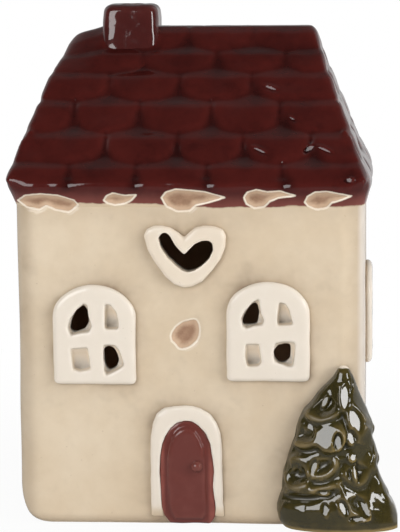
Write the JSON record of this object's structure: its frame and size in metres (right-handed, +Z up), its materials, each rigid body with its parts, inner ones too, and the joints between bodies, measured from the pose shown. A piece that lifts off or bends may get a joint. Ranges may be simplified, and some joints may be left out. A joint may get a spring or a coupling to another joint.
{
  "type": "tealight house",
  "caption": "Small glazed ceramic house with a tiled hip roof, chimney, pierced windows and heart, a relief door and a fir tree; a tealight slides in through its open back.",
  "frame": {"origin": "middle of the walls' footprint, on the surface that the house stands on", "axes": "+Z up, the front with the door faces -Y, +X is on the viewer's right"},
  "size_m": [0.1291, 0.1086, 0.1701],
  "materials": {
    "cream_glaze": "glossy",
    "red_glaze": "glossy",
    "white_glaze": "glossy",
    "door_glaze": "glossy",
    "olive_glaze": "glossy",
    "cup_aluminium": "satin",
    "wax": "satin",
    "wick_cotton": "matte",
    "sustainer_steel": "satin"
  },
  "bodies": {
    "house": {"house_body": "cream_glaze", "roof_shell": "red_glaze", "chimney": "red_glaze", "front_window_left": "white_glaze", "front_window_right": "white_glaze", "side_window_right": "white_glaze", "side_window_left": "white_glaze", "heart_frame": "white_glaze", "door_surround": "white_glaze", "door_leaf": "door_glaze", "door_knob": "door_glaze", "fir_tree": "olive_glaze"},
    "tealight": {"tealight_cup": "cup_aluminium", "tealight_wax": "wax", "tealight_wick": "wick_cotton", "wick_sustainer": "sustainer_steel"}
  },
  "joints": [
    {"name": "tealight_slide", "type": "slide", "parent": "house", "child": "tealight", "axis": [0, 1, 0], "range_m": [0, 0.095]}
  ]
}
